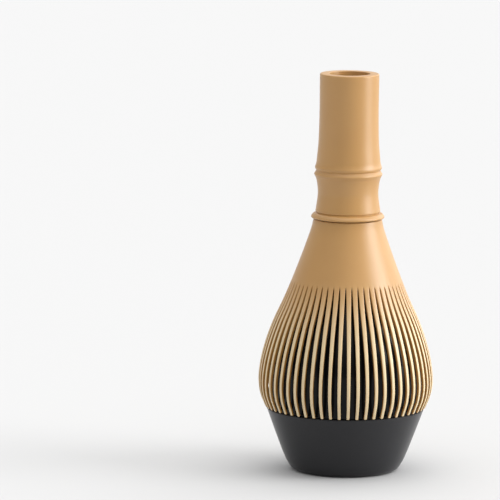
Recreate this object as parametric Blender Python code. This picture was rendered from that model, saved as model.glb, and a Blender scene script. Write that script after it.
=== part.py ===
"""A moulded tea whisk standing on its holder.

The whisk is three mouldings: a bamboo-shaped handle, a cage of outer tines pushed onto the handle's
spigot, and a bundle of inner tines plugged into the handle's lower bore. The holder is two mouldings:
a cup that stands on the table and a dome that keeps the tines in shape. The whisk lifts straight up.

Frame: +Z up, origin at the centre of the face that the holder stands on. Blender units are metres.
"""

from math import cos, pi, radians, sin, tau

import bmesh
import bpy
from mathutils import Vector

MM = 0.001
FIT_GAP = 0.3  # left between two pieces that touch

# Driving sizes, in millimetres
TOTAL_HEIGHT = 141.3
HANDLE_RADIUS = 10.45
HANDLE_BORE_RADIUS = 7.2
NODE_HEIGHT = 106.95  # the groove of the bamboo-like node on the handle
SPREAD_RADIUS = 30.95  # the tine cage at its widest
SPREAD_HEIGHT = 32.7
TIP_HEIGHT = 22.5  # lower end of the outer tines
TIP_RADIUS = 28.45
CUP_FOOT_RADIUS = 17.0
CUP_RIM_RADIUS = 28.0
SEAT_RADIUS = 26.2  # the dome's skirt drops into the cup here
DOME_RADIUS = 27.0  # less than the tips' inner radius, so the whisk lifts off freely
DOME_TOP = 69.5

# Heights where one piece meets the next
CUP_RIM = TIP_HEIGHT - FIT_GAP
FLANGE_BOTTOM = 90.05
FLANGE_RADIUS = 12.95
CAGE_TOP = FLANGE_BOTTOM - FIT_GAP
SPIGOT_END = 82.6
SPIGOT_RADIUS = 10.2

# Outer tines
OUTER_TINES = 58
FIRST_TINE_TURN = radians(2.1)  # from the front towards the right
SLOT_TOP = 68.3
ROOT_THICKNESS = 1.1
TIP_THICKNESS = 0.85
TINE_ROOT_WIDTH = 1.95
TINE_TIP_WIDTH = 1.0

# Inner tines
INNER_TINES = 36
PLUG_RADIUS = HANDLE_BORE_RADIUS - 0.3
INNER_SLOT_TOP = 76.0
INNER_TIP_HEIGHT = 30.0
INNER_TIP_RADIUS = 5.2
INNER_TINE_THICKNESS = 0.8
INNER_ROOT_WIDTH = 0.85
INNER_TIP_WIDTH = 0.65

TURNED_SIDES = 48


def clear_scene():
    for obj in list(bpy.data.objects):
        bpy.data.objects.remove(obj, do_unlink=True)


def moulded_material(name, colour, roughness):
    material = bpy.data.materials.new(name)
    material.use_nodes = True
    shader = material.node_tree.nodes["Principled BSDF"]
    shader.inputs["Base Color"].default_value = (*colour, 1.0)
    shader.inputs["Roughness"].default_value = roughness
    shader.inputs["Metallic"].default_value = 0.0
    material.diffuse_color = (*colour, 1.0)
    return material


def point_at(radius, height, angle=0.0):
    """A point in metres from a radius, a height and an angle about the whisk's axis."""
    return Vector((radius * sin(angle), -radius * cos(angle), height)) * MM


def finish_object(name, bm, material):
    """Closes the seams, points the faces out and makes the mesh one named object."""
    bmesh.ops.remove_doubles(bm, verts=bm.verts, dist=0.001 * MM)
    bmesh.ops.recalc_face_normals(bm, faces=bm.faces)
    mesh = bpy.data.meshes.new(name)
    bm.to_mesh(mesh)
    bm.free()
    mesh.shade_smooth()
    mesh.set_sharp_from_angle(angle=radians(30))
    mesh.materials.append(material)
    obj = bpy.data.objects.new(name, mesh)
    bpy.context.scene.collection.objects.link(obj)
    return obj


def turned(name, section, material, closed=True):
    """Spins a section of (radius, height) points about the axis. An open section starts and ends on it."""
    bm = bmesh.new()
    points = [bm.verts.new(point_at(radius, height)) for radius, height in section]
    pairs = list(zip(points, points[1:]))
    if closed:
        pairs.append((points[-1], points[0]))
    edges = [bm.edges.new(pair) for pair in pairs]
    bmesh.ops.spin(
        bm, geom=points + edges, cent=(0, 0, 0), axis=(0, 0, 1), angle=tau,
        steps=TURNED_SIDES, use_merge=True,
    )
    return finish_object(name, bm, material)


def arc(centre_radius, centre_height, radius, start, end, steps):
    """Points of an arc in the section plane, from start to end in degrees. 0 is outwards and 90 is up."""
    turn = [radians(start + (end - start) * i / steps) for i in range(steps + 1)]
    return [
        (centre_radius + radius * cos(angle), centre_height + radius * sin(angle))
        for angle in turn
    ]


def smooth_between(points, heights):
    """Radii at the given heights on a smooth curve through (radius, height) points, listed top to bottom."""
    radii = []
    last = len(points) - 2
    for height in heights:
        i = next((k for k in range(last + 1) if height >= points[k + 1][1]), last)
        (r1, z1), (r2, z2) = points[i], points[i + 1]
        r0, z0 = points[i - 1] if i > 0 else (2 * r1 - r2, 2 * z1 - z2)
        r3, z3 = points[i + 2] if i < last else (2 * r2 - r1, 2 * z2 - z1)
        span = z2 - z1
        t = (height - z1) / span
        slope_in = (r2 - r0) / (z2 - z0) * span
        slope_out = (r3 - r1) / (z3 - z1) * span
        radii.append(
            (2 * t**3 - 3 * t**2 + 1) * r1 + (t**3 - 2 * t**2 + t) * slope_in
            + (3 * t**2 - 2 * t**3) * r2 + (t**3 - t**2) * slope_out
        )
    return radii


def blend(start, end, share):
    return start + (end - start) * share


def tined_ring(name, material, count, turn, stations, slot_station, root_width, tip_width):
    """A turned wall that ends in separate tines, the first of them at the angle turn.

    Each station is (outer radius, outer height, inner radius, inner height), from the top down. Above
    slot_station neighbouring sectors meet. Below it each is a tine that narrows from root_width to
    tip_width, quickly at first.
    """
    bm = bmesh.new()
    half_pitch = pi / count
    slot_height = stations[slot_station][1]
    slot_length = slot_height - stations[-1][1]
    rings = []
    for i, (outer, outer_height, inner, inner_height) in enumerate(stations):
        half_outer = half_inner = half_pitch
        if i > slot_station:
            share = (slot_height - outer_height) / slot_length
            width = blend(root_width, tip_width, share**0.5)
            half_outer = width / 2 / outer
            half_inner = width / 2 / inner
        rings.append([
            bm.verts.new(point_at(outer, outer_height, turn - half_outer)),
            bm.verts.new(point_at(outer, outer_height, turn + half_outer)),
            bm.verts.new(point_at(inner, inner_height, turn + half_inner)),
            bm.verts.new(point_at(inner, inner_height, turn - half_inner)),
        ])
    bm.faces.new(rings[0])
    for i, (upper, lower) in enumerate(zip(rings, rings[1:])):
        for a, b in ((0, 1), (1, 2), (2, 3), (3, 0)):
            is_side = a in (1, 3)
            if is_side and i < slot_station:
                continue
            bm.faces.new((upper[a], upper[b], lower[b], lower[a]))
    bm.faces.new(rings[-1])
    bmesh.ops.spin(
        bm, geom=bm.verts[:] + bm.edges[:] + bm.faces[:], cent=(0, 0, 0), axis=(0, 0, 1),
        angle=tau * (count - 1) / count, steps=count - 1, use_duplicate=True,
    )
    return finish_object(name, bm, material)


def make_handle(material):
    """A thick tube with a bamboo node, a blind bore at each end, a flange and a spigot for the tines."""
    outside = [
        (HANDLE_RADIUS - 0.5, TOTAL_HEIGHT),
        (HANDLE_RADIUS - 0.13, TOTAL_HEIGHT - 0.15),
        (HANDLE_RADIUS, TOTAL_HEIGHT - 0.6),
        (HANDLE_RADIUS - 0.03, NODE_HEIGHT + 22.5),
        (HANDLE_RADIUS + 0.05, NODE_HEIGHT + 15.7),
        (HANDLE_RADIUS + 0.27, NODE_HEIGHT + 9.3),
        (HANDLE_RADIUS + 0.65, NODE_HEIGHT + 5.1),
        (HANDLE_RADIUS + 0.96, NODE_HEIGHT + 2.9),
        (HANDLE_RADIUS + 1.33, NODE_HEIGHT + 1.2),
        (HANDLE_RADIUS + 1.25, NODE_HEIGHT + 0.6),
        (HANDLE_RADIUS + 0.97, NODE_HEIGHT),
        (HANDLE_RADIUS + 1.4, NODE_HEIGHT - 0.6),
        (HANDLE_RADIUS + 1.58, NODE_HEIGHT - 1.15),
        (HANDLE_RADIUS + 1.3, NODE_HEIGHT - 1.8),
        (HANDLE_RADIUS + 0.93, NODE_HEIGHT - 2.6),
        (HANDLE_RADIUS + 0.55, NODE_HEIGHT - 4.4),
        (HANDLE_RADIUS + 0.22, NODE_HEIGHT - 7.6),
        (HANDLE_RADIUS + 0.35, NODE_HEIGHT - 9.8),
        (HANDLE_RADIUS + 0.63, NODE_HEIGHT - 11.9),
        (HANDLE_RADIUS + 1.0, NODE_HEIGHT - 14.5),
    ]
    flange = [
        (FLANGE_RADIUS - 0.95, FLANGE_BOTTOM + 1.95),
        (FLANGE_RADIUS - 0.25, FLANGE_BOTTOM + 1.1),
        (FLANGE_RADIUS, FLANGE_BOTTOM + 0.65),
        (FLANGE_RADIUS, FLANGE_BOTTOM + 0.45),
        (FLANGE_RADIUS - 0.15, FLANGE_BOTTOM + 0.15),
        (FLANGE_RADIUS - 0.45, FLANGE_BOTTOM),
    ]
    inner_end = PLUG_RADIUS + FIT_GAP
    inside = [
        (SPIGOT_RADIUS, FLANGE_BOTTOM),
        (SPIGOT_RADIUS, SPIGOT_END),
        (inner_end, SPIGOT_END),
        (inner_end, NODE_HEIGHT - 9.0),
        (0.0, NODE_HEIGHT - 9.0),
    ]
    bore = [
        (0.0, NODE_HEIGHT + 2.0),
        (HANDLE_BORE_RADIUS, NODE_HEIGHT + 2.0),
        (HANDLE_BORE_RADIUS, TOTAL_HEIGHT - 0.4),
        (HANDLE_BORE_RADIUS + 0.4, TOTAL_HEIGHT),
    ]
    section = bore + outside + flange + inside
    return turned("handle", section, material, closed=False)


def make_outer_tines(material):
    """A hollow cone with a socket for the handle, slotted from SLOT_TOP down into curved tines."""
    outline = [
        (12.1, CAGE_TOP),
        (12.65, 87.0),
        (14.1, 82.5),
        (16.5, 75.8),
        (19.3, 68.4),
        (22.3, 61.1),
        (25.8, 53.5),
        (28.45, 46.2),
        (30.15, 39.5),
        (SPREAD_RADIUS, SPREAD_HEIGHT),
        (30.4, 27.6),
        (TIP_RADIUS, TIP_HEIGHT),
    ]
    socket_radius = SPIGOT_RADIUS + FIT_GAP
    socket_heights = [CAGE_TOP, 86.5, SPIGOT_END - FIT_GAP]
    stations = [
        (outer, height, socket_radius, height)
        for outer, height in zip(smooth_between(outline, socket_heights), socket_heights)
    ]
    wall_heights = [78.0, 73.0, SLOT_TOP]
    tine_heights = [66.5, 64.0, 60.0, 55.0, 50.0, 45.0, 40.0, 36.0, SPREAD_HEIGHT, 29.0, 25.5]
    slot_station = len(socket_heights) + len(wall_heights) - 1
    step = 0.1
    for height in wall_heights + tine_heights:
        if height > SLOT_TOP:
            wall = blend(ROOT_THICKNESS, 2.0, (height - SLOT_TOP) / (wall_heights[0] - SLOT_TOP))
        else:
            wall = blend(ROOT_THICKNESS, TIP_THICKNESS, (SLOT_TOP - height) / (SLOT_TOP - TIP_HEIGHT))
        above, outer, below = smooth_between(outline, [height + step, height, height - step])
        normal = Vector((2 * step, below - above)).normalized()
        stations.append((outer, height, outer - wall * normal.x, height - wall * normal.y))
    tip_lean = radians(32)
    stations.append((
        TIP_RADIUS, TIP_HEIGHT,
        TIP_RADIUS - TIP_THICKNESS * cos(tip_lean), TIP_HEIGHT + TIP_THICKNESS * sin(tip_lean),
    ))
    return tined_ring(
        "outer_tines", material, OUTER_TINES, FIRST_TINE_TURN, stations, slot_station,
        TINE_ROOT_WIDTH, TINE_TIP_WIDTH,
    )


def make_inner_tines(material):
    """A plug that fits the handle's lower bore, and a bundle of straight tines that draw together."""
    wall = INNER_TINE_THICKNESS
    stations = [
        (PLUG_RADIUS - 0.4, 96.0, PLUG_RADIUS - 2.0, 96.0),
        (PLUG_RADIUS, 95.4, PLUG_RADIUS - 2.0, 84.0),
        (PLUG_RADIUS, INNER_SLOT_TOP, PLUG_RADIUS - wall, INNER_SLOT_TOP),
    ]
    tine_steps = 5
    top = INNER_SLOT_TOP - 1.5
    for i in range(tine_steps + 1):
        share = i / tine_steps
        height = blend(top, INNER_TIP_HEIGHT, share)
        radius = blend(PLUG_RADIUS, INNER_TIP_RADIUS, share)
        stations.append((radius, height, radius - wall, height))
    return tined_ring(
        "inner_tines", material, INNER_TINES, 0.0, stations, 2, INNER_ROOT_WIDTH, INNER_TIP_WIDTH
    )


def make_stand_dome(material):
    """The bulb that the tines close round, with a mouth for the inner tines and a skirt for the cup."""
    wall = 1.8
    outline = [
        (DOME_RADIUS, 32.0),
        (26.9, 37.0),
        (26.0, 43.0),
        (23.7, 49.0),
        (20.3, 55.0),
        (16.5, 60.5),
        (13.2, 65.0),
        (11.7, 68.0),
    ]
    mouth_radius = 8.5
    lip = (outline[-1][0] - mouth_radius) / 2
    lip_centre = mouth_radius + lip
    skirt_radius = SEAT_RADIUS - FIT_GAP
    skirt_end = CUP_RIM - 3.5
    outside = [(skirt_radius, skirt_end), (skirt_radius, TIP_HEIGHT), (DOME_RADIUS, TIP_HEIGHT)]
    outside += outline
    rounded_lip = arc(lip_centre, DOME_TOP - lip, lip, 0, 180, 6)
    collar = [(mouth_radius, 62.5), (mouth_radius + 2.0, 62.0)]
    inside = [(radius - wall, height - wall * 0.4) for radius, height in reversed(outline[:6])]
    inside += [(skirt_radius - 1.6, TIP_HEIGHT), (skirt_radius - 1.6, skirt_end)]
    return turned("stand_dome", outside + rounded_lip + collar + inside, material)


def make_stand_cup(material):
    """The cup that stands on the table: a foot ring, a flared wall and a seat for the dome's skirt."""
    foot_recess = 0.6
    floor = 2.6
    seat_depth = 3.8
    section = [
        (0.0, foot_recess),
        (12.8, foot_recess),
        (13.4, 0.0),
        (CUP_FOOT_RADIUS, 0.0),
        (18.3, 0.35),
        (19.4, 1.2),
        (20.3, 2.6),
        (21.1, 4.1),
        (22.35, 7.0),
        (CUP_RIM_RADIUS - 0.1, CUP_RIM - 0.3),
        (CUP_RIM_RADIUS - 0.2, CUP_RIM),
        (SEAT_RADIUS, CUP_RIM),
        (SEAT_RADIUS, CUP_RIM - seat_depth),
        (SEAT_RADIUS - 1.9, CUP_RIM - seat_depth),
        (20.0, 6.6),
        (18.6, 3.6),
        (17.4, floor),
        (0.0, floor),
    ]
    return turned("stand_cup", section, material, closed=False)


def main():
    clear_scene()
    tan = moulded_material("tan_resin", (0.62, 0.38, 0.16), 0.45)
    glossy_black = moulded_material("black_dome_resin", (0.012, 0.012, 0.013), 0.15)
    satin_black = moulded_material("black_cup_resin", (0.022, 0.022, 0.024), 0.4)
    make_handle(tan)
    make_outer_tines(tan)
    make_inner_tines(tan)
    make_stand_dome(glossy_black)
    make_stand_cup(satin_black)


main()
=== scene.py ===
"""A moulded tea whisk on its stand: fine meshes, real finishes, soft studio light."""

from math import cos, pi, radians, sin, sqrt, tau

import bmesh
import bpy
from mathutils import Matrix, Vector


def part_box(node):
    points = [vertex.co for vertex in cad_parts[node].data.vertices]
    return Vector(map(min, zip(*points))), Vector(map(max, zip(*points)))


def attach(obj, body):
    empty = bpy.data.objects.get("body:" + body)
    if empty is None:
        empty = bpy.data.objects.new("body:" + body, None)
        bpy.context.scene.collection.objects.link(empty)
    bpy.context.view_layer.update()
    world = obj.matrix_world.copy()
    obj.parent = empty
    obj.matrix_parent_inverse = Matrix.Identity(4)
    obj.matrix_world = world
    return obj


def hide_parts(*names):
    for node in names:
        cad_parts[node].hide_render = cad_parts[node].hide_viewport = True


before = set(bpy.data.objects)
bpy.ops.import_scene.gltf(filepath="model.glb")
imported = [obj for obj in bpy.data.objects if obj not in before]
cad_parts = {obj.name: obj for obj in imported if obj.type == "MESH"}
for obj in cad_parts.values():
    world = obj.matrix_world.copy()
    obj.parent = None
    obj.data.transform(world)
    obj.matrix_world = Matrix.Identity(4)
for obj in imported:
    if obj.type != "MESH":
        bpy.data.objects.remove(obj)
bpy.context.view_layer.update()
MM = 0.001

# ---------------------------------------------------------------------------------------------------
# Camera. A long portrait lens, well back and a little above the whisk, which stands right of the
# middle. The camera is tipped by about half a degree, as a hand-held one is.
# ---------------------------------------------------------------------------------------------------
camera_place = Vector((0.0, -1.7486, 0.3402))
camera_aim = Vector((-0.0344, 0.0, 0.078))
camera_tip = radians(0.6)
camera_data = bpy.data.cameras.new("studio_camera")
camera_data.sensor_width = 36.0
camera_data.lens = 360.0
camera_data.clip_end = 40.0
camera = bpy.data.objects.new("studio_camera", camera_data)
bpy.context.scene.collection.objects.link(camera)
look = (camera_aim - camera_place).to_track_quat("-Z", "Y").to_matrix().to_4x4()
camera.matrix_world = Matrix.Translation(camera_place) @ look @ Matrix.Rotation(camera_tip, 4, "Z")
bpy.context.scene.camera = camera


# ---------------------------------------------------------------------------------------------------
# Handle. One thick tube of tan resin, moulded to look like a bamboo stem: a node with two soft ridges
# and a groove, a waist, and a thin ring at the foot that stops against the cage. It came out of a
# two-part mould, and its bore is closed half-way down by the wall that bamboo has at a node.
# ---------------------------------------------------------------------------------------------------
def point_at(radius, height, angle=0.0):
    """A point in metres from a radius, a height and an angle about the whisk's axis."""
    return Vector((radius * sin(angle), -radius * cos(angle), height)) * MM


def arc(centre_radius, centre_height, radius, start, end, steps=8):
    """Points of an arc in the section plane, from start to end in degrees. 0 is outwards, 90 is up."""
    turn = [radians(start + (end - start) * i / steps) for i in range(steps + 1)]
    return [(centre_radius + radius * cos(a), centre_height + radius * sin(a)) for a in turn]


def smooth_line(points, steps):
    """A smooth line through (radius, height) points, with steps pieces in each span."""
    places = [Vector(p) for p in points]
    line = []
    for i in range(len(places) - 1):
        p1, p2 = places[i], places[i + 1]
        p0 = places[i - 1] if i else 2 * p1 - p2
        p3 = places[i + 2] if i + 2 < len(places) else 2 * p2 - p1
        span = (p2 - p1).length
        start = (p2 - p0) * (span / (span + (p1 - p0).length))
        end = (p3 - p1) * (span / (span + (p3 - p2).length))
        for k in range(steps):
            t = k / steps
            place = (
                p1 * (2 * t**3 - 3 * t**2 + 1) + start * (t**3 - 2 * t**2 + t)
                + p2 * (3 * t**2 - 2 * t**3) + end * (t**3 - t**2)
            )
            line.append(tuple(place))
    line.append(tuple(places[-1]))
    return line


def finish_mesh(name, bm, material, sharp=35):
    """Merges doubles, points faces outwards, shades smooth and links the result as an object."""
    bmesh.ops.remove_doubles(bm, verts=bm.verts, dist=0.0005 * MM)
    bmesh.ops.recalc_face_normals(bm, faces=bm.faces)
    mesh = bpy.data.meshes.new(name)
    bm.to_mesh(mesh)
    bm.free()
    mesh.shade_smooth()
    mesh.set_sharp_from_angle(angle=radians(sharp))
    mesh.materials.append(material)
    piece = bpy.data.objects.new(name, mesh)
    bpy.context.scene.collection.objects.link(piece)
    return piece


def turned(name, section, material, sides=128, closed=False):
    """Spins a section of (radius, height) points about the axis. Unless it is closed, it starts and
    ends on the axis."""
    bm = bmesh.new()
    points = [bm.verts.new(point_at(radius, height)) for radius, height in section]
    pairs = list(zip(points, points[1:]))
    if closed:
        pairs.append((points[-1], points[0]))
    edges = [bm.edges.new(pair) for pair in pairs]
    bmesh.ops.spin(
        bm, geom=points + edges, cent=(0, 0, 0), axis=(0, 0, 1), angle=tau, steps=sides, use_merge=True
    )
    return finish_mesh(name, bm, material)


def colour(hex_code):
    """An sRGB hex colour as linear RGBA."""
    channels = [int(hex_code[i:i + 2], 16) / 255 for i in (1, 3, 5)]
    linear = [c / 12.92 if c <= 0.04045 else ((c + 0.055) / 1.055) ** 2.4 for c in channels]
    return (*linear, 1.0)


def add_node(tree, kind, settings=None, inputs=None):
    """Adds a node and sets its properties and inputs. An input given as a socket is linked to it."""
    node = tree.nodes.new(kind)
    for name, value in (settings or {}).items():
        setattr(node, name, value)
    for key, value in (inputs or {}).items():
        if isinstance(value, bpy.types.NodeSocket):
            tree.links.new(value, node.inputs[key])
        else:
            node.inputs[key].default_value = value
    return node


def new_material(name, settings):
    """A material with its Principled shader's plain sockets set, as (material, tree, shader, place)."""
    material = bpy.data.materials.new(name)
    material.use_nodes = True
    tree = material.node_tree
    shader = tree.nodes["Principled BSDF"]
    for key, value in settings.items():
        shader.inputs[key].default_value = value
    place = add_node(tree, "ShaderNodeTexCoord").outputs["Object"]
    return material, tree, shader, place


def moulded_tan_resin():
    """Satin injection-moulded resin. The pigment is slightly uneven, as it is where the melt flowed.
    Lower down, the tines carry painted light: their outer faces are painted paler, a painted
    highlight, and their sides and inner faces a darker gold than the thick handle, painted shade.
    The mould leaves a fine, even tooth, which is drawn coarser than it is so that it shows."""
    flow_width = 14 * MM
    tooth_width = 0.35 * MM
    pale_from = 71 * MM
    palest_from = 44 * MM
    material, tree, shader, place = new_material("moulded_tan_resin", {
        "IOR": 1.5,
        "Specular IOR Level": 0.7,
        "Metallic": 0.0,
        "Subsurface Weight": 0.06,
        "Subsurface Radius": (1.0, 0.5, 0.25),
        "Subsurface Scale": 0.8 * MM,
    })
    flow = add_node(
        tree, "ShaderNodeTexNoise", {"noise_dimensions": "3D"},
        {"Vector": place, "Scale": 1 / flow_width, "Detail": 3.0, "Roughness": 0.5},
    )
    tan = add_node(tree, "ShaderNodeMix", {"data_type": "RGBA"}, {
        "Factor": flow.outputs["Fac"],
        "A": colour("#B3864C"),
        "B": colour("#BB8F55"),
    })
    height = add_node(tree, "ShaderNodeSeparateXYZ", {}, {"Vector": place}).outputs["Z"]
    # This ramp sets how strongly the painted light on the tines shows, from 71 mm down to 44 mm.
    paleness = add_node(tree, "ShaderNodeMapRange", {"interpolation_type": "SMOOTHSTEP"}, {
        "Value": height,
        "From Min": pale_from,
        "From Max": palest_from,
        "To Min": 0.0,
        "To Max": 0.75,
    })
    level = add_node(
        tree, "ShaderNodeVectorMath", {"operation": "MULTIPLY"},
        {0: place, 1: (1.0, 1.0, 0.0)},
    )
    # Painted light by facing: outward faces of the tines get a painted highlight, and sides and inner
    # faces get painted shade, which falls into the slots between them.
    outwards = add_node(
        tree, "ShaderNodeVectorMath", {"operation": "NORMALIZE"},
        {0: level.outputs["Vector"]},
    )
    facing = add_node(tree, "ShaderNodeVectorMath", {"operation": "DOT_PRODUCT"}, {
        0: outwards.outputs["Vector"],
        1: add_node(tree, "ShaderNodeTexCoord").outputs["Normal"],
    })
    painted_light_by_facing = add_node(tree, "ShaderNodeMapRange", {"interpolation_type": "SMOOTHSTEP"}, {
        "Value": facing.outputs["Value"],
        "From Min": 0.35,
        "From Max": 0.9,
    })
    # Painted shade: the darker gold on the sides and inner faces of the tines.
    side = add_node(tree, "ShaderNodeMix", {"data_type": "RGBA"}, {
        "Factor": paleness.outputs["Result"],
        "A": tan.outputs["Result"],
        "B": colour("#AF7F3A"),
    })
    # Painted highlight: the pale cream on the outer faces of the tines.
    face = add_node(tree, "ShaderNodeMix", {"data_type": "RGBA"}, {
        "Factor": paleness.outputs["Result"],
        "A": tan.outputs["Result"],
        "B": colour("#E8D6AE"),
    })
    # The resin's tan with the painted highlight and painted shade of the tines mixed in.
    resin = add_node(tree, "ShaderNodeMix", {"data_type": "RGBA"}, {
        "Factor": painted_light_by_facing.outputs["Result"],
        "A": side.outputs["Result"],
        "B": face.outputs["Result"],
    })
    tree.links.new(resin.outputs["Result"], shader.inputs["Base Color"])
    satin = add_node(tree, "ShaderNodeMapRange", {}, {
        "Value": flow.outputs["Fac"],
        "To Min": 0.34,
        "To Max": 0.44,
    })
    tree.links.new(satin.outputs["Result"], shader.inputs["Roughness"])
    tooth = add_node(tree, "ShaderNodeTexNoise", {}, {
        "Vector": place,
        "Scale": 1 / tooth_width,
        "Detail": 2.0,
    })
    bump = add_node(tree, "ShaderNodeBump", {}, {
        "Height": tooth.outputs["Fac"],
        "Strength": 0.12,
        "Distance": 0.02 * MM,
    })
    tree.links.new(bump.outputs["Normal"], shader.inputs["Normal"])
    return material


tan_resin = moulded_tan_resin()

fit_gap = 0.3
handle_low, handle_high = (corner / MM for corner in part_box("handle"))
rim = handle_high.z
rim_round = 0.5
rim_chamfer = 0.25
groove = rim - 34.35
ring_radius = handle_high.x
ring_round = 0.45
ring_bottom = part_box("outer_tines")[1].z / MM + fit_gap
stem_radius = 10.45
bore_radius = 7.2
bore_floor = groove + 2.4
bore_corner = 1.0
spigot_radius = 10.2
spigot_end = handle_low.z
plug_bore = 7.2
plug_bore_end = groove - 9.0

stem = smooth_line([
    (stem_radius, rim - rim_round),
    (stem_radius, groove + 30.0),
    (stem_radius - 0.03, groove + 22.5),
    (stem_radius + 0.05, groove + 15.7),
    (stem_radius + 0.27, groove + 9.3),
    (stem_radius + 0.65, groove + 5.1),
    (stem_radius + 0.86, groove + 2.9),
    (stem_radius + 1.08, groove + 1.95),
    (stem_radius + 1.34, groove + 1.2),
    (stem_radius + 1.26, groove + 0.62),
    (stem_radius + 0.9, groove + 0.05),
    (stem_radius + 1.2, groove - 0.5),
    (stem_radius + 1.58, groove - 1.2),
    (stem_radius + 1.38, groove - 1.8),
    (stem_radius + 0.98, groove - 2.6),
    (stem_radius + 0.56, groove - 4.4),
    (stem_radius + 0.22, groove - 7.6),
    (stem_radius + 0.35, groove - 9.8),
    (stem_radius + 0.63, groove - 11.9),
    (stem_radius + 1.0, groove - 14.3),
], 6)
ring = smooth_line([
    (stem_radius + 1.0, groove - 14.3),
    (stem_radius + 0.98, ring_bottom + 2.4),
    (stem_radius + 0.72, ring_bottom + 2.12),
    (stem_radius + 0.74, ring_bottom + 1.95),
    (ring_radius - 0.85, ring_bottom + 1.62),
    (ring_radius - 0.35, ring_bottom + 1.12),
    (ring_radius - 0.05, ring_bottom + 0.72),
], 5)[1:]
ring += arc(ring_radius - ring_round, ring_bottom + ring_round, ring_round, 10, -90, 9)
spigot = [
    (spigot_radius, ring_bottom),
    (spigot_radius, spigot_end + 0.5),
    (spigot_radius - 0.5, spigot_end),
    (plug_bore + 0.3, spigot_end),
    (plug_bore, spigot_end + 0.3),
    (plug_bore, plug_bore_end - 0.4),
    (plug_bore - 0.4, plug_bore_end),
    (0.0, plug_bore_end),
]
bore = [(0.0, bore_floor)]
bore += smooth_line([
    (0.6, groove + 2.38),
    (4.0, groove + 2.15),
    (bore_radius - bore_corner, groove + 2.0),
], 4)
bore += arc(bore_radius - bore_corner, groove + 3.0, bore_corner, -90, 0, 6)
bore += arc(bore_radius + rim_chamfer, rim - rim_chamfer, rim_chamfer, 180, 90, 5)
bore += arc(stem_radius - rim_round, rim - rim_round, rim_round, 90, 8, 8)

handle = turned("whisk_handle", bore + stem + ring + spigot, tan_resin, sides=144)
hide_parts("handle")
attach(handle, "whisk")


# ---------------------------------------------------------------------------------------------------
# Cage of outer tines. A hollow cone with a socket for the handle's spigot, slotted from half-way down
# into 58 curved tines. Every slot starts at a sharp point. The tines have rounded edges and rounded
# ends, and their wall thins towards the tips. It is one moulding in the handle's resin.
# ---------------------------------------------------------------------------------------------------
def blend(start, end, share):
    """The value that lies a share of the way from start to end."""
    return start + (end - start) * share


def cross_section(bm, outer, inner, half_pitch, gap):
    """A loop of vertices round one tine, from (radius, height) points in the middle of its outer and
    inner faces. The corners are rounded and the outer face has a slight crown."""
    along = Vector(inner) - Vector(outer)
    depth = along.length
    half_outer = half_pitch * outer[0] - gap / 2
    half_inner = half_pitch * inner[0] - gap / 2
    edge = min(0.2, gap / 2, half_outer * 0.6, depth / 3)
    crown = edge * 0.2
    loop = []
    for share in (-1.0, -0.5, 0.0, 0.5, 1.0):
        loop.append((share * (half_outer - edge), crown * share**2))
    for turn in (30, 60, 90):
        side, down = sin(radians(turn)), cos(radians(turn))
        loop.append((half_outer - edge * (1 - side), crown + edge * (1 - down)))
    for turn in (0, 45, 90):
        side, down = cos(radians(turn)), sin(radians(turn))
        loop.append((half_inner - edge * (1 - side), depth - edge * (1 - down)))
    right = loop[5:]
    loop.append((0.0, depth))
    loop += [(-side, down) for side, down in reversed(right)]
    points = []
    for side, down in loop:
        radius, height = Vector(outer) + along * (down / depth)
        points.append(bm.verts.new(point_at(radius, height, side / radius)))
    return points


def tine_sector(name, stations, count, slot_station):
    """One tine with its share of the wall above it, from (outer point, inner point, gap) stations."""
    bm = bmesh.new()
    loops = [cross_section(bm, outer, inner, pi / count, gap) for outer, inner, gap in stations]
    points_round = len(loops[0])
    faces_of_wall = (0, 1, 2, 3, 10, 11)
    bm.faces.new([loops[0][i] for i in (0, 1, 2, 3, 4, 10, 11, 12)])
    for i, (upper, lower) in enumerate(zip(loops, loops[1:])):
        for k in faces_of_wall if i < slot_station else range(points_round):
            after = (k + 1) % points_round
            bm.faces.new((upper[k], upper[after], lower[after], lower[k]))
    bm.faces.new(loops[-1])
    mesh = bpy.data.meshes.new(name)
    bm.to_mesh(mesh)
    bm.free()
    sector = bpy.data.objects.new(name, mesh)
    bpy.context.scene.collection.objects.link(sector)
    return sector


def ring_tree():
    """Geometry nodes that repeat a sector round the axis: Count sectors, the first turned by Turn."""
    tree = bpy.data.node_groups.new("ring_of_tines", "GeometryNodeTree")
    sockets = tree.interface
    sockets.new_socket("Sector", in_out="INPUT", socket_type="NodeSocketGeometry")
    sockets.new_socket("Count", in_out="INPUT", socket_type="NodeSocketInt")
    sockets.new_socket("Turn", in_out="INPUT", socket_type="NodeSocketFloat")
    sockets.new_socket("Material", in_out="INPUT", socket_type="NodeSocketMaterial")
    sockets.new_socket("Ring", in_out="OUTPUT", socket_type="NodeSocketGeometry")
    given = add_node(tree, "NodeGroupInput").outputs
    points = add_node(tree, "GeometryNodePoints", {}, {"Count": given["Count"]})
    index = add_node(tree, "GeometryNodeInputIndex").outputs[0]
    turns = add_node(tree, "ShaderNodeMath", {"operation": "DIVIDE"}, {0: index, 1: given["Count"]})
    angle = add_node(
        tree, "ShaderNodeMath", {"operation": "MULTIPLY_ADD"},
        {0: turns.outputs[0], 1: tau, 2: given["Turn"]},
    )
    rotation = add_node(tree, "ShaderNodeCombineXYZ", {}, {"Z": angle.outputs[0]})
    repeated = add_node(tree, "GeometryNodeInstanceOnPoints", {}, {
        "Points": points.outputs[0],
        "Instance": given["Sector"],
        "Rotation": rotation.outputs[0],
    })
    solid = add_node(tree, "GeometryNodeRealizeInstances", {}, {"Geometry": repeated.outputs[0]})
    finished = add_node(tree, "GeometryNodeSetMaterial", {}, {
        "Geometry": solid.outputs[0],
        "Material": given["Material"],
    })
    add_node(tree, "NodeGroupOutput", {}, {"Ring": finished.outputs[0]})
    return tree


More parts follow.
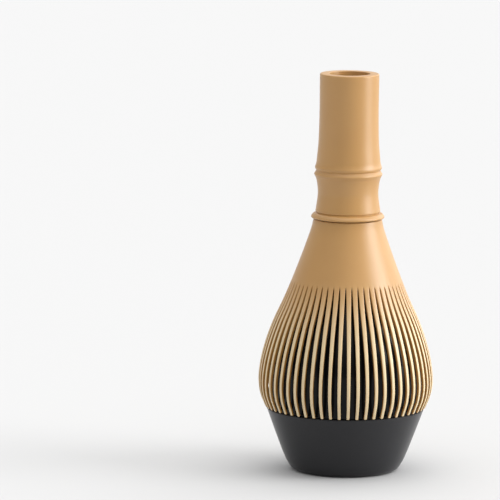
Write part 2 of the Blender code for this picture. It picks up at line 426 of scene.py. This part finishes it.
def ring_of_tines(name, sector, tree, count, turn, material):
    """Repeats the sector with the tree and returns the result as one closed mesh."""
    modifier = sector.modifiers.new("ring", "NODES")
    modifier.node_group = tree
    values = {"Count": count, "Turn": turn, "Material": material}
    for socket in tree.interface.items_tree:
        if socket.name in values:
            modifier[socket.identifier] = values[socket.name]
    shown = sector.evaluated_get(bpy.context.evaluated_depsgraph_get())
    mesh = bpy.data.meshes.new_from_object(shown)
    sector.modifiers.clear()
    bpy.data.objects.remove(sector, do_unlink=True)
    bm = bmesh.new()
    bm.from_mesh(mesh)
    bpy.data.meshes.remove(mesh)
    return finish_mesh(name, bm, material, sharp=50)


def rounded_end(tip, down, normal, wall, gap, rounding=0.3):
    """Stations that round off the end of a tine, which ends at the (radius, height) point tip."""
    stations = []
    for share in (0.0, 0.4, 0.7, 0.9, 1.0):
        shrink = rounding * (1 - sqrt(1 - share**2))
        outer = tip - down * rounding * (1 - share) - normal * shrink
        inner = outer - normal * (wall - 2 * shrink)
        stations.append((tuple(outer), tuple(inner), gap + 2 * shrink))
    return stations


outer_tines_count = 58
first_tine_turn = radians(2.1)
cage_low, cage_high = (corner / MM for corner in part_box("outer_tines"))
cage_top = cage_high.z
tip_height = cage_low.z
slot_top = 68.4
slot_opening = 33.0
width_at_slot = 1.95
width_at_tip = 1.07
wall_at_socket = 2.0
wall_at_slot = 1.25
wall_at_tip = 0.85
wall_blend = 9.6
socket_radius = spigot_radius + fit_gap
socket_end = spigot_end - fit_gap
cage_outline = smooth_line([
    (12.14, cage_top - 0.25),
    (12.65, 87.0),
    (14.1, 82.5),
    (16.5, 75.8),
    (19.3, slot_top),
    (22.3, 61.1),
    (25.8, 53.5),
    (28.45, 46.2),
    (30.15, 39.5),
    (30.95, 32.7),
    (30.4, 27.6),
    (28.45, tip_height),
], 5)
cage_stations = [
    ((11.95, cage_top), (socket_radius + 0.25, cage_top), 0.0),
    ((12.08, cage_top - 0.08), (socket_radius, cage_top - 0.25), 0.0),
]
cage_slot_station = 0
for i, (radius, height) in enumerate(cage_outline[:-1]):
    above = Vector(cage_outline[max(i - 1, 0)])
    below = Vector(cage_outline[i + 1])
    down = (below - above).normalized()
    normal = Vector((-down.y, down.x))
    share = max(0.0, (slot_top - height) / (slot_top - tip_height))
    if share > 0:
        wall = blend(wall_at_slot, wall_at_tip, share**3)
    else:
        wall = blend(wall_at_slot, wall_at_socket, (height - slot_top) / wall_blend)
    tine_width = blend(width_at_slot, width_at_tip, sqrt(share))
    gap = (tau * radius / outer_tines_count - tine_width) * min(1.0, share * slot_opening)
    inner = Vector((radius, height)) - normal * wall
    if height > socket_end + 0.4:
        inner = Vector((socket_radius, height - 0.2))
    if gap < 0.001:
        gap = 0.0
        cage_slot_station = len(cage_stations)
    cage_stations.append(((radius, height), tuple(inner), gap))
tip = Vector(cage_outline[-1])
tip_down = (tip - Vector(cage_outline[-2])).normalized()
tip_normal = Vector((-tip_down.y, tip_down.x))
tip_gap = tau * tip.x / outer_tines_count - width_at_tip
cage_stations.pop()
cage_stations += rounded_end(tip, tip_down, tip_normal, wall_at_tip, tip_gap)
sector = tine_sector("outer_tine", cage_stations, outer_tines_count, cage_slot_station)
tines_tree = ring_tree()
outer_tines = ring_of_tines(
    "whisk_outer_tines", sector, tines_tree, outer_tines_count, first_tine_turn, tan_resin
)
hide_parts("outer_tines")
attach(outer_tines, "whisk")


# ---------------------------------------------------------------------------------------------------
# Inner tines. A plug pressed into the handle's lower bore, with 36 thin straight tines that draw
# together towards their ends. It is the third moulding of the whisk, in the same tan resin.
# ---------------------------------------------------------------------------------------------------
inner_tines_count = 36
plug_low, plug_high = (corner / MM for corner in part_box("inner_tines"))
plug_top = plug_high.z
bundle_end = plug_low.z
plug_radius = 6.9
bundle_radius = 5.2
inner_slot_top = 76.0
bundle_top = inner_slot_top - 1.5
tine_depth = 0.8
inner_width_at_slot = 0.85
inner_width_at_tip = 0.65
bundle_steps = 10
inner_stations = [
    ((plug_radius - 0.4, plug_top), (plug_radius - 1.9, plug_top), 0.0),
    ((plug_radius - 0.12, plug_top - 0.15), (plug_radius - 2.0, plug_top - 0.15), 0.0),
    ((plug_radius, plug_top - 0.6), (plug_radius - 2.0, plug_top - 0.6), 0.0),
    ((plug_radius, 84.0), (plug_radius - 2.0, 84.0), 0.0),
    ((plug_radius, inner_slot_top), (plug_radius - tine_depth, inner_slot_top), 0.0),
]
inner_slot_station = len(inner_stations) - 1
bundle_end_point = Vector((bundle_radius, bundle_end))
bundle_down = (bundle_end_point - Vector((plug_radius, bundle_top))).normalized()
bundle_normal = Vector((-bundle_down.y, bundle_down.x))
for i in range(bundle_steps):
    share = i / bundle_steps
    radius = blend(plug_radius, bundle_radius, share)
    outer = Vector((radius, blend(bundle_top, bundle_end, share)))
    gap = tau * outer.x / inner_tines_count - blend(inner_width_at_slot, inner_width_at_tip, share)
    inner_stations.append((tuple(outer), tuple(outer - bundle_normal * tine_depth), gap))
bundle_gap = tau * bundle_radius / inner_tines_count - inner_width_at_tip
inner_stations += rounded_end(
    bundle_end_point, bundle_down, bundle_normal, tine_depth, bundle_gap, rounding=0.2
)
sector = tine_sector("inner_tine", inner_stations, inner_tines_count, inner_slot_station)
inner_tines = ring_of_tines(
    "whisk_inner_tines", sector, tines_tree, inner_tines_count, 0.0, tan_resin
)
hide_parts("inner_tines")
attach(inner_tines, "whisk")


# ---------------------------------------------------------------------------------------------------
# Stand dome. A thin bulb of glossy black resin that keeps the cage in shape while the whisk dries. It
# has a rolled lip round the mouth for the inner tines, and its skirt drops into the cup.
# ---------------------------------------------------------------------------------------------------
def glossy_black_resin():
    """Polished injection-moulded black resin. Wipe marks make the gloss slightly uneven."""
    wipe_width = 6 * MM
    material, tree, shader, place = new_material("glossy_black_resin", {
        "Base Color": colour("#0B0B0C"),
        "IOR": 1.5,
        "Specular IOR Level": 0.14,
        "Metallic": 0.0,
    })
    marks = add_node(tree, "ShaderNodeTexNoise", {}, {
        "Vector": place,
        "Scale": 1 / wipe_width,
        "Detail": 4.0,
    })
    gloss = add_node(tree, "ShaderNodeMapRange", {}, {
        "Value": marks.outputs["Fac"],
        "To Min": 0.12,
        "To Max": 0.22,
    })
    tree.links.new(gloss.outputs["Result"], shader.inputs["Roughness"])
    return material


dome_low, dome_high = (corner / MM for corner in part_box("stand_dome"))
dome_top = dome_high.z
dome_radius = dome_high.x
skirt_end = dome_low.z
skirt_radius = 25.9
skirt_wall = 1.6
mouth_radius = 8.5
shoulder = smooth_line([
    (dome_radius, tip_height + 0.15),
    (dome_radius, 32.0),
    (26.9, 37.0),
    (26.0, 43.0),
    (23.7, 49.0),
    (20.3, 55.0),
    (16.5, 60.5),
    (13.2, 65.0),
    (11.75, 67.7),
], 8)
lip_radius = 1.6
lip = arc(mouth_radius + lip_radius, dome_top - lip_radius, lip_radius, 8, 180, 16)
under_shoulder = smooth_line([
    (mouth_radius, 63.0),
    (mouth_radius + 0.6, 62.1),
    (mouth_radius + 2.2, 61.6),
    (14.5, 59.6),
    (18.5, 54.2),
    (21.9, 48.3),
    (24.2, 42.3),
    (25.1, 36.3),
    (25.2, 31.5),
    (25.2, tip_height + 4.0),
    (skirt_radius - skirt_wall, tip_height + 1.0),
], 5)
skirt = [
    (skirt_radius - skirt_wall, skirt_end + 0.3),
    (skirt_radius - 1.3, skirt_end),
    (skirt_radius - 0.4, skirt_end),
    (skirt_radius, skirt_end + 0.4),
    (skirt_radius, tip_height),
    (dome_radius - 0.15, tip_height),
]
stand_dome = turned(
    "stand_dome_bulb", skirt + shoulder + lip + under_shoulder, glossy_black_resin(), closed=True
)
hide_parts("stand_dome")
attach(stand_dome, "stand")


# ---------------------------------------------------------------------------------------------------
# Stand cup. A flared cup of satin black resin on a foot ring, with a rabbet inside the rim where the
# dome's skirt sits. The ends of the outer tines rest on its rim.
# ---------------------------------------------------------------------------------------------------
def satin_black_resin():
    """Black resin from a finely etched mould, which gives it a soft satin surface. The etching is
    drawn coarser than it is so that it shows, and handling has rubbed the surface unevenly."""
    etching_width = 0.25 * MM
    rubbing_width = 9 * MM
    material, tree, shader, place = new_material("satin_black_resin", {
        "Base Color": colour("#2A2A2C"),
        "IOR": 1.5,
        "Specular IOR Level": 0.25,
        "Sheen Weight": 0.12,
        "Sheen Roughness": 0.25,
        "Metallic": 0.0,
    })
    etching = add_node(tree, "ShaderNodeTexNoise", {}, {
        "Vector": place,
        "Scale": 1 / etching_width,
        "Detail": 2.0,
    })
    bump = add_node(tree, "ShaderNodeBump", {}, {
        "Height": etching.outputs["Fac"],
        "Strength": 0.2,
        "Distance": 0.02 * MM,
    })
    tree.links.new(bump.outputs["Normal"], shader.inputs["Normal"])
    rubbed = add_node(tree, "ShaderNodeTexNoise", {}, {
        "Vector": place,
        "Scale": 1 / rubbing_width,
        "Detail": 3.0,
    })
    satin = add_node(tree, "ShaderNodeMapRange", {}, {
        "Value": rubbed.outputs["Fac"],
        "To Min": 0.3,
        "To Max": 0.4,
    })
    tree.links.new(satin.outputs["Result"], shader.inputs["Roughness"])
    return material


cup_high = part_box("stand_cup")[1] / MM
cup_rim = cup_high.z
cup_radius = cup_high.x
seat_radius = skirt_radius + fit_gap
seat = cup_rim - 3.8
foot_radius = 17.0
recess = 0.6
cup_floor = 2.6
foot_under = [
    (0.0, recess),
    (12.6, recess),
    (12.9, 0.5),
    (13.3, 0.08),
    (13.5, 0.0),
    (foot_radius, 0.0),
]
foot_side = smooth_line([
    (foot_radius, 0.0),
    (18.3, 0.35),
    (19.4, 1.2),
    (20.3, 2.6),
    (21.1, 4.1),
    (22.35, 7.0),
], 5)[1:]
cup_wall = smooth_line([
    (22.35, 7.0),
    (25.1, 14.3),
    (cup_radius - 0.12, cup_rim - 0.5),
], 6)[1:]
cup_lip = [
    (cup_radius - 0.03, cup_rim - 0.25),
    (cup_radius - 0.06, cup_rim - 0.1),
    (cup_radius - 0.2, cup_rim),
    (seat_radius + 0.15, cup_rim),
    (seat_radius, cup_rim - 0.15),
    (seat_radius, seat),
    (seat_radius - 1.8, seat),
    (seat_radius - 1.95, cup_rim - 4.0),
]
cup_inside = smooth_line([
    (22.0, 12.3),
    (20.0, 6.6),
    (18.6, 3.7),
    (16.9, cup_floor),
], 6) + [(0.0, cup_floor)]
stand_cup = turned(
    "stand_cup_base", foot_under + foot_side + cup_wall + cup_lip + cup_inside, satin_black_resin()
)
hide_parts("stand_cup")
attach(stand_cup, "stand")


# ---------------------------------------------------------------------------------------------------
# Studio. A pale seamless floor in a soft white surround: a wide light overhead, a pale wall behind, a
# weak fill in front and on the left, and softboxes on the right. A close panel on the right lights
# the whisk and the stand alone, and gives the handle its long soft highlight.
# ---------------------------------------------------------------------------------------------------
studio_paper = new_material("white_studio_paper", {
    "Base Color": colour("#CDCDCD"),
    "Roughness": 0.9,
    "Specular IOR Level": 0.1,
})[0]
floor_reach = 30.0
floor_bm = bmesh.new()
bmesh.ops.create_grid(floor_bm, x_segments=1, y_segments=1, size=floor_reach)
floor = finish_mesh("studio_floor", floor_bm, studio_paper)


def light_from(turn, rise):
    """The unit direction at an angle from the front towards the right, and an angle above the floor."""
    across, up = radians(turn), radians(rise)
    return Vector((sin(across) * cos(up), -cos(across) * cos(up), sin(up)))


def soft_patch(tree, direction, centre, inner, outer, strength):
    """A round patch of light: full within inner degrees of its centre, and none beyond outer degrees."""
    facing = add_node(
        tree, "ShaderNodeVectorMath", {"operation": "DOT_PRODUCT"},
        {0: direction, 1: centre},
    )
    spread = add_node(tree, "ShaderNodeMapRange", {"interpolation_type": "SMOOTHSTEP"}, {
        "Value": facing.outputs["Value"],
        "From Min": cos(radians(outer)),
        "From Max": cos(radians(inner)),
        "To Min": 0.0,
        "To Max": strength,
    })
    return spread.outputs["Result"]


panel_width = 0.24
panel_height = 0.4
panel_place = Vector((0.49, -0.07, panel_height / 2))
panel_aim = Vector((0.0, 0.0, panel_height / 2))
side_panel_data = bpy.data.lights.new("side_panel", "AREA")
side_panel_data.shape = "RECTANGLE"
side_panel_data.size = panel_width
side_panel_data.size_y = panel_height
side_panel_data.energy = 1.0
side_panel = bpy.data.objects.new("side_panel", side_panel_data)
bpy.context.scene.collection.objects.link(side_panel)
panel_look = (panel_aim - panel_place).to_track_quat("-Z", "Y").to_matrix().to_4x4()
side_panel.matrix_world = Matrix.Translation(panel_place) @ panel_look
lit_by_panel = bpy.data.collections.new("lit_by_side_panel")
for piece in (handle, outer_tines, inner_tines, stand_dome, stand_cup):
    lit_by_panel.objects.link(piece)
side_panel.light_linking.receiver_collection = lit_by_panel

world = bpy.data.worlds.new("studio")
bpy.context.scene.world = world
world.use_nodes = True
sky = world.node_tree
background = sky.nodes["Background"]
direction = add_node(sky, "ShaderNodeTexCoord").outputs["Generated"]
light = add_node(sky, "ShaderNodeValue").outputs[0]
light.default_value = 0.09
patches = [
    (light_from(120, 74), 22, 72, 1.4),  # overhead, slightly behind on the right
    (light_from(180, 5), 30, 80, 0.65),  # pale wall behind
    (light_from(0, 50), 20, 60, 0.45),  # fill in front, above the camera
    (light_from(82, 24), 12, 24, 5.0),  # softbox on the right
    (light_from(130, 8), 15, 40, 1.2),  # low softbox behind on the right
    (light_from(-80, 15), 20, 50, 0.4),  # weak fill on the left
]
for centre, inner, outer, strength in patches:
    patch = soft_patch(sky, direction, centre, inner, outer, strength)
    light = add_node(sky, "ShaderNodeMath", {"operation": "ADD"}, {0: light, 1: patch}).outputs[0]
sky.links.new(light, background.inputs["Strength"])
background.inputs["Color"].default_value = (1.0, 1.0, 1.0, 1.0)
bpy.context.scene.view_settings.view_transform = "Standard"
